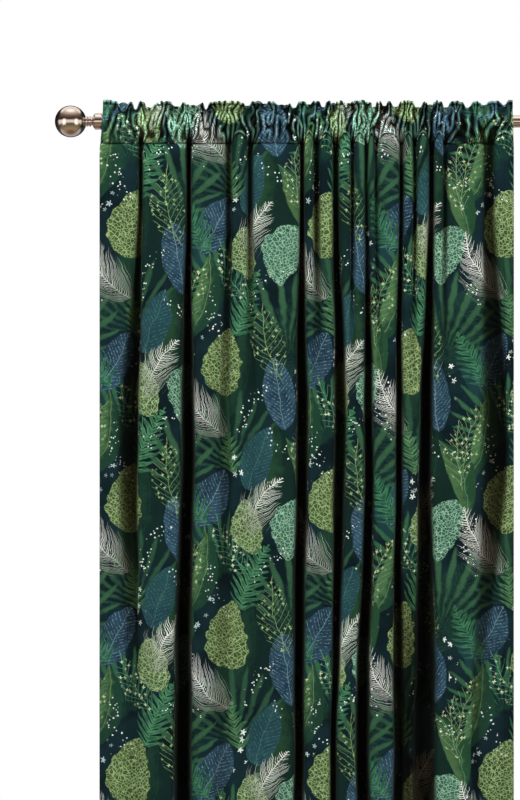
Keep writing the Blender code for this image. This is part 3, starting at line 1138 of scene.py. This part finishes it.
def fern(colour, place, length, width, lean, dark, light):
    """Broad leaflets in pairs along a stalk."""
    along, across = bent(place, 1.4)
    far = abs(across)
    spacing = 0.0085
    share = far / outline(along, length, width, lean, 0.8)
    leaflet = calc("PINGPONG", calc("MULTIPLY_ADD", far, -0.75, along), spacing) / spacing
    room = calc("POWER", calc("MAXIMUM", 1.0 - share, 0.0), 0.55)
    mask = rise(room * 0.95 - leaflet, 0.0, 0.22) * fall(share, 0.92, 1.0)
    mask = calc("MAXIMUM", mask, fall(far, 0.0004, 0.0014) * fall(share, 0.3, 0.9))
    body = paint_over(dark, light, rise(leaflet * 0.5 + brush, 0.4, 1.0))
    return paint_over(colour, body, mask)


def fan(colour, place, length, width, dark, light):
    """A dark palm fan, its blades spread from one point at the stalk's end."""
    along, across = place
    up = along + length / 2
    angle = calc("ARCTAN2", across, up)
    far = calc("SQRT", up * up + across * across) / length
    blade = calc("PINGPONG", angle, width) / width
    limit = 1.0 - calc("POWER", abs(angle) / 1.5, 2.0) * 0.6
    room = calc("MAXIMUM", 1.0 - far / limit, 0.0)
    mask = rise(calc("POWER", room, 0.4) - blade, 0.0, 0.35) * fall(abs(angle), 1.25, 1.45)
    body = paint_over(dark, light, rise(calc("MULTIPLY_ADD", blade, -0.6, far + brush), 0.3, 1.1))
    return paint_over(colour, body, mask * rise(far, 0.03, 0.10) * 0.9)


print("leaves ready")

# %% [markdown]
# Feathers, sprigs and strings are finer. The strokes of a feather have uneven lengths, thrown by
# a dice for each stroke. Strings of blossoms and of berries are drawn in one way, so a function
# makes both.

# %% Draw feathers, sprigs and strings
def feather(colour, place, length, width, lean, dark, light):
    """Loose pale strokes that sweep outwards from both sides of a fine stalk."""
    along, across = bent(place, 2.6)
    far = abs(across)
    spacing = 0.0027
    walk = calc("MULTIPLY_ADD", far * (0.5 + 26.0 * far), -1.0, along) + brush * 0.010
    stroke_number = calc("FLOOR", walk / (spacing * 2.0) + 0.5) + calc("SIGN", across) * 31.0
    dice = velvet_tree.nodes.new("ShaderNodeTexWhiteNoise")
    throw = Wire(adjust(dice, noise_dimensions="1D", W=stroke_number).outputs["Value"])
    reach = outline(along, length, width, lean, 0.7) * (throw * 0.75 + 0.35)
    share = far / reach
    strokes = fall(calc("PINGPONG", walk, spacing) / (1.05 - share * 0.65), 0.0006, 0.0017)
    mask = strokes * fall(share, 0.80, 1.0) * rise(fine_brush + throw * 0.5, 0.44, 0.66)
    mask = calc("MAXIMUM", mask, fall(far, 0.0004, 0.0013) * rise(reach, 0.001, 0.004))
    return paint_over(colour, paint_over(dark, light, rise(along + brush * 0.05, -0.05, 0.04)), mask)


def sprig(colour, place, length, width, lean, dark, light):
    """A fine branching stalk with small blossoms along it."""
    along, across = bent(place, 1.8)
    inside = outline(along, length, width, lean, 0.6) - abs(across)
    twigs = ribs(along, across, 1.1, 0.0165, 0.0010) * rise(inside, -0.001, 0.002)
    stalk = fall(abs(across), 0.0004, 0.0012) * fall(abs(along), length * 0.55, length * 0.6)
    colour = paint_over(colour, dark, calc("MAXIMUM", twigs, stalk))
    return paint_over(colour, light, small_blossoms * rise(inside, 0.0, 0.004))


def string_of(mark, bend, blunt, edge):
    """A way to draw a bent string of blossoms or berries."""
    def draw_string(colour, place, length, width, lean, light):
        along, across = bent(place, bend)
        inside = outline(along, length, width, lean, blunt) - abs(across)
        return paint_over(colour, light, mark * rise(inside, 0.0, edge))
    return draw_string


blossom_string = string_of(large_blossoms, -3.0, 0.4, 0.003)
berry_string = string_of(berries, 4.0, 0.3, 0.002)
print("ways to draw a motif ready")

# %% [markdown]
# ## The print
#
# One table holds the whole print, from what lies deepest to what lies on top: the way it is
# drawn, its place and turn in the repeat, its length and width, where it is widest, and its
# dyes. The motifs are ordinary leaves, ferns, sprigs and blossoms.

# %% Lay out the print
BLACK_TEAL, DEEP_TEAL, TEAL = dye(8, 28, 34), dye(15, 44, 50), dye(30, 80, 84)
BOTTLE, JADE = dye(22, 66, 46), dye(74, 150, 104)
LIME, PALE_LIME = dye(110, 150, 78), dye(160, 200, 122)
MIST, TAUPE, SNOW = dye(122, 168, 178), dye(148, 156, 142), dye(228, 244, 234)
PRINT = (
    # drawn as, u, v, turn, length, width, widest (but not for a fan), dyes
    (long_leaf, 0.130, 0.120, 70, 0.300, 0.150, 0.9, dye(12, 42, 38), dye(21, 60, 44), BOTTLE),
    (long_leaf, 0.010, 0.520, 115, 0.280, 0.140, 1.0, dye(12, 42, 50), dye(20, 62, 68), TEAL),
    (long_leaf, 0.215, 0.560, 80, 0.260, 0.130, 0.8, dye(13, 44, 36), dye(28, 70, 42), BOTTLE),
    (rib_leaf, 0.260, 0.250, 60, 0.240, 0.140, 1.0, dye(10, 36, 38), dye(19, 56, 50), dye(36, 84, 66)),
    (fan, 0.090, 0.030, 95, 0.190, 0.110, dye(14, 46, 44), dye(38, 88, 58)),
    (fan, 0.255, 0.300, 80, 0.200, 0.120, dye(17, 52, 42), dye(46, 100, 62)),
    (fan, 0.030, 0.400, 120, 0.180, 0.100, dye(15, 54, 44), dye(42, 104, 66)),
    (rib_leaf, 0.160, 0.600, 70, 0.150, 0.076, 0.8, dye(24, 68, 78), TEAL, dye(70, 126, 124)),
    (long_leaf, 0.020, 0.330, 75, 0.230, 0.070, 0.9, BOTTLE, dye(64, 116, 66), LIME),
    (long_leaf, 0.285, 0.560, 110, 0.210, 0.064, 1.1, dye(28, 76, 44), dye(64, 110, 58), JADE),
    (net_leaf, 0.070, 0.190, 84, 0.160, 0.112, 0.72, dye(46, 76, 36), dye(76, 108, 48), dye(160, 194, 118)),
    (rib_leaf, 0.215, 0.110, 98, 0.168, 0.080, 1.0, dye(24, 56, 80), dye(42, 84, 108), MIST),
    (net_leaf, 0.235, 0.440, 72, 0.150, 0.104, 1.2, dye(28, 84, 64), dye(56, 118, 92), dye(150, 206, 164)),
    (rib_leaf, 0.040, 0.510, 60, 0.150, 0.084, 0.9, dye(22, 52, 74), dye(40, 78, 102), MIST),
    (net_leaf, 0.130, 0.440, 100, 0.130, 0.080, 0.9, dye(50, 86, 46), dye(80, 116, 58), dye(168, 202, 132)),
    (fern, 0.140, 0.330, 65, 0.170, 0.094, 0.7, dye(30, 92, 60), dye(70, 150, 94)),
    (fern, 0.305, 0.190, 120, 0.150, 0.088, 0.7, dye(26, 84, 58), dye(56, 136, 86)),
    (fern, 0.090, 0.620, 100, 0.120, 0.070, 0.7, dye(30, 88, 52), dye(84, 142, 84)),
    (feather, 0.000, 0.080, 125, 0.190, 0.120, 0.7, TAUPE, dye(232, 238, 226)),
    (feather, 0.165, 0.500, 60, 0.160, 0.100, 0.8, dye(140, 152, 136), dye(232, 240, 226)),
    (sprig, 0.190, 0.230, 100, 0.170, 0.084, 1.0, LIME, PALE_LIME),
    (sprig, 0.085, 0.390, 125, 0.160, 0.070, 1.0, JADE, dye(206, 226, 168)),
    (sprig, 0.300, 0.020, 70, 0.160, 0.076, 1.0, LIME, dye(196, 216, 140)),
    (sprig, 0.270, 0.610, 95, 0.140, 0.064, 1.0, dye(110, 150, 96), dye(200, 220, 160)),
    (blossom_string, 0.110, 0.560, 80, 0.130, 0.030, 1.0, SNOW),
    (blossom_string, 0.270, 0.130, 100, 0.120, 0.028, 1.0, SNOW),
    (blossom_string, 0.020, 0.240, 60, 0.100, 0.026, 1.0, dye(180, 214, 214)),
    (berry_string, 0.140, 0.080, 60, 0.150, 0.034, 1.0, SNOW),
    (berry_string, 0.040, 0.290, 110, 0.150, 0.036, 1.0, SNOW),
    (berry_string, 0.190, 0.370, 40, 0.150, 0.030, 1.0, SNOW),
    (berry_string, 0.300, 0.390, 95, 0.150, 0.034, 1.0, SNOW),
    (berry_string, 0.230, 0.620, 150, 0.140, 0.032, 1.0, SNOW),
)

print_colour = paint_over(BLACK_TEAL, DEEP_TEAL, rise(wash, 0.36, 0.62))
for draw, u, v, turn, *size_and_dyes in PRINT:
    print_colour = draw(print_colour, place_motif(u, v, turn), *size_and_dyes)
print("motifs:", len(PRINT), "nodes:", len(velvet_tree.nodes))

# %% [markdown]
# ## The velvet
#
# Velvet is a short, dense pile. Looked at straight on it is deep and matt, and where the
# surface turns away the tips of the pile catch the light. The shader's sheen does part of this,
# with a fine bump for the pile and a faint unevenness where the pile lies one way or the other.
# The rest is painted into the base colour: a pale painted highlight along the crests of the
# wrinkles and the frill's rim, and painted shade in the valleys of the folds, in the troughs,
# along the stitches and along the hems.

# %% Finish the velvet
# The painted shade and the pile's tone turn warmer as they darken: red falls off more slowly than blue.
SHADE_POWERS = {"Red": 0.89, "Green": 1.00, "Blue": 1.09}
DARKEST_DEPTH = 0.030
adjust(velvet_shader, Roughness=0.92, Specular_IOR_Level=0.12)
adjust(velvet_shader, Sheen_Weight=0.07, Sheen_Roughness=0.30, Sheen_Tint=(0.72, 0.90, 0.84, 1.0))


def reading(name):
    """A number that every point of the panel carries."""
    node = adjust(velvet_tree.nodes.new("ShaderNodeAttribute"), attribute_name=name)
    return Wire(node.outputs["Fac"])


# Painted light read from the panel: the crest light gives a painted highlight on crests and the frill's
# rim, and the depth gives painted shade in valleys, troughs, stitches and hems.
painted_highlight = reading("crest_light")
painted_shade_factor = calc("POWER", fall(reading("painted_shade_depth"), 0.0, DARKEST_DEPTH), 1.6)
pile, brushed_pile = noise(380.0, 2.0), noise(14.0, 3.0)
tone = calc("MULTIPLY_ADD", pile, 0.74, calc("MULTIPLY_ADD", brushed_pile, 0.42, 0.25))
# The pile's random tone, darkened by the painted shade and brightened by the painted highlight.
depth = tone * calc("MULTIPLY_ADD", painted_shade_factor, 0.95, 0.05) * calc("MULTIPLY_ADD", painted_highlight, 2.0, 1.0)
shade = velvet_tree.nodes.new("ShaderNodeCombineColor")
adjust(shade, **{name: calc("POWER", depth, power) for name, power in SHADE_POWERS.items()})
# A pale painted highlight along the crests and the frill's rim.
velvet_colour_with_painted_light = paint_over(print_colour, dye(150, 190, 170), painted_highlight * 0.24)
# The print multiplied by the pile's tone, the painted shade and the painted highlight.
velvet_colour_with_painted_light = paint_over(velvet_colour_with_painted_light, Wire(shade.outputs[0]), 1.0, "MULTIPLY")
adjust(velvet_shader, Base_Color=velvet_colour_with_painted_light, Normal=relief(pile, 0.35, 0.0006))
panel_mesh.materials.append(velvet)
print("velvet nodes:", len(velvet_tree.nodes))

# %% [markdown]
# The wrong side of a printed velvet is its plain ground cloth, dull, with a fine weave. The side
# hems and the bottom hem are turned to this side, so a strip of darker pile shows along three
# edges, ending at a row of stitches. The second material of the panel is used here by the
# thickness modifier.

# %% Finish the wrong side
STITCH_ROW, STITCH_ROW_HALF = 0.97, 0.05
ground, ground_tree, ground_shader = new_material("velvet_wrong_side", Roughness=0.95)
adjust(ground_shader, Specular_IOR_Level=0.1)
ground_uv = Wire(adjust(ground_tree.nodes.new("ShaderNodeUVMap"), uv_map="cloth").outputs["UV"])
threads = ground_tree.nodes.new("ShaderNodeTexWave")
weave = Wire(adjust(threads, Vector=ground_uv, Scale=160.0, Distortion=0.6).outputs["Fac"])
across_cloth, up_cloth, _ = parts_of(ground_uv)
from_side = CLOTH_WIDTH / 2.0 - abs(across_cloth - CLOTH_WIDTH / 2.0)
in_hem = calc("MINIMUM", from_side / SIDE_HEM, up_cloth / BOTTOM_HEM)
stitch_row = calc("COMPARE", in_hem, STITCH_ROW, STITCH_ROW_HALF)
ground_colour = paint_over(dye(50, 84, 78), dye(76, 112, 102), weave)
ground_colour = paint_over(ground_colour, dye(22, 58, 54), calc("LESS_THAN", in_hem, 1.0))
ground_colour = paint_over(ground_colour, dye(12, 32, 34), stitch_row)
adjust(ground_shader, Base_Color=ground_colour, Normal=relief(weave, 0.25, 0.0004))
panel_mesh.materials.append(ground)
print("wrong side nodes:", len(ground_tree.nodes))

# %% [markdown]
# ## The rod and its finials
#
# The rod is a plain tube. Each finial is turned on a lathe: a ball, a neck with two small beads
# and a collar that takes the rod's end. Half the outline is drawn once and swept round the axis
# in fine steps, so the ball stays round in the picture.

# %% Turn the metal pieces
ROD_RADIUS, ROD_BORE_RADIUS = 0.014, 0.0128
BALL_RADIUS, NECK_RADIUS, COLLAR_RADIUS = 0.037, 0.0110, 0.0188
COLLAR_END, SOCKET_DEPTH, FIT_GAP = 0.073, 0.020, 0.0003
BALL_STEPS, FINIAL_SIDES, ROD_SIDES = 36, 96, 72
SHARP_DEGREES = 32
LEFT_BALL_X, RIGHT_BALL_X = -0.552, 0.606


def finial_outline():
    """(distance along the axis, radius) from the ball's pole to the bottom of the socket."""
    neck_angle = math.asin(NECK_RADIUS / BALL_RADIUS)
    line = []
    for step in range(BALL_STEPS + 1):
        angle = math.pi - (math.pi - neck_angle) * step / BALL_STEPS
        line.append((BALL_RADIUS * math.cos(angle), BALL_RADIUS * math.sin(angle)))
    line[0] = (-BALL_RADIUS, 0.0)
    line += [(0.0380, 0.0114), (0.0394, 0.0119), (0.0402, 0.0112), (0.0408, 0.0092), (0.0416, 0.0092)]
    line += [(0.0424, 0.0110), (0.0436, 0.0117), (0.0460, 0.0118), (0.0476, 0.0112), (0.0484, 0.0092)]
    line += [(0.0500, 0.0088), (0.0508, 0.0090), (0.0516, 0.0104), (0.0566, 0.0182)]
    line += [(0.0572, 0.0187), (0.0580, COLLAR_RADIUS), (0.0725, COLLAR_RADIUS)]
    line += [(0.0728, 0.0187), (COLLAR_END, 0.0185)]
    line += [(COLLAR_END, ROD_RADIUS + FIT_GAP), (COLLAR_END - SOCKET_DEPTH, ROD_RADIUS + FIT_GAP)]
    line += [(COLLAR_END - SOCKET_DEPTH, 0.0)]
    return line


def turned_piece(name, line, sides, place, facing):
    """A solid swept round the X axis from half its outline."""
    form = bmesh.new()
    corners = [form.verts.new((along * facing, 0.0, radius)) for along, radius in line]
    edges = [form.edges.new(pair) for pair in zip(corners, corners[1:])]
    bmesh.ops.spin(
        form, geom=corners + edges, cent=(0, 0, 0), axis=(1, 0, 0),
        angle=2.0 * math.pi, steps=sides, use_merge=True,
    )
    bmesh.ops.remove_doubles(form, verts=form.verts, dist=0.00002)
    bmesh.ops.translate(form, verts=form.verts, vec=(place, 0, 0))
    bmesh.ops.recalc_face_normals(form, faces=form.faces)
    mesh = bpy.data.meshes.new(name)
    form.to_mesh(mesh)
    form.free()
    mesh.shade_smooth()
    mesh.set_sharp_from_angle(angle=math.radians(SHARP_DEGREES))
    return add_object(name, mesh)


finial_left = turned_piece("ball_finial_left", finial_outline(), FINIAL_SIDES, LEFT_BALL_X, 1)
finial_right = turned_piece("ball_finial_right", finial_outline(), FINIAL_SIDES, RIGHT_BALL_X, -1)
rod_start = LEFT_BALL_X + COLLAR_END - SOCKET_DEPTH + FIT_GAP
rod_end = RIGHT_BALL_X - COLLAR_END + SOCKET_DEPTH - FIT_GAP
rod_line = [
    (rod_start, ROD_BORE_RADIUS), (rod_start, ROD_RADIUS),
    (rod_end, ROD_RADIUS), (rod_end, ROD_BORE_RADIUS), (rod_start, ROD_BORE_RADIUS),
]
rod = turned_piece("polished_rod", rod_line, ROD_SIDES, 0.0, 1)
print("rod from", round(rod_start, 3), "to", round(rod_end, 3))

# %% [markdown]
# ## Brushed metal
#
# The metal is nickel with a warm cast. It was brushed, so its gloss is drawn out in fine
# streaks. A noise stretched along the rod makes the streaks in the roughness and a tiny bump.

# %% Make the metal
STREAK_SCALE = (18.0, 900.0, 900.0)
SMOOTHEST, ROUGHENING = 0.10, 0.12
metal, metal_tree, metal_shader = new_material("warm_brushed_nickel", Metallic=1.0)
metal_place = Wire(metal_tree.nodes.new("ShaderNodeTexCoord").outputs["Object"])
stretch = adjust(metal_tree.nodes.new("ShaderNodeMapping"), Vector=metal_place, Scale=STREAK_SCALE)
streak_noise = metal_tree.nodes.new("ShaderNodeTexNoise")
adjust(streak_noise, Vector=Wire(stretch.outputs["Vector"]), Scale=1.0, Detail=3.0)
streaks = Wire(streak_noise.outputs["Fac"])
adjust(
    metal_shader,
    Roughness=calc("MULTIPLY_ADD", streaks, ROUGHENING, SMOOTHEST),
    Base_Color=paint_over((0.48, 0.40, 0.36, 1.0), (0.70, 0.62, 0.57, 1.0), streaks),
    Normal=relief(streaks, 0.12, 0.0002),
)
for piece in (rod, finial_left, finial_right):
    piece.data.materials.append(metal)
print("metal on three pieces")

# %% [markdown]
# ## Attach the pieces
#
# Every piece rides on the one body of the model, and its imported solid is hidden.

# %% Attach the pieces and hide the imported ones
for piece, node, slot in (
    (panel, "curtain_panel", "velvet"),
    (rod, "rod_tube", "rod_metal"),
    (finial_left, "finial_left", "rod_metal"),
    (finial_right, "finial_right", "rod_metal"),
):
    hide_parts(node)
    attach(piece, "root")
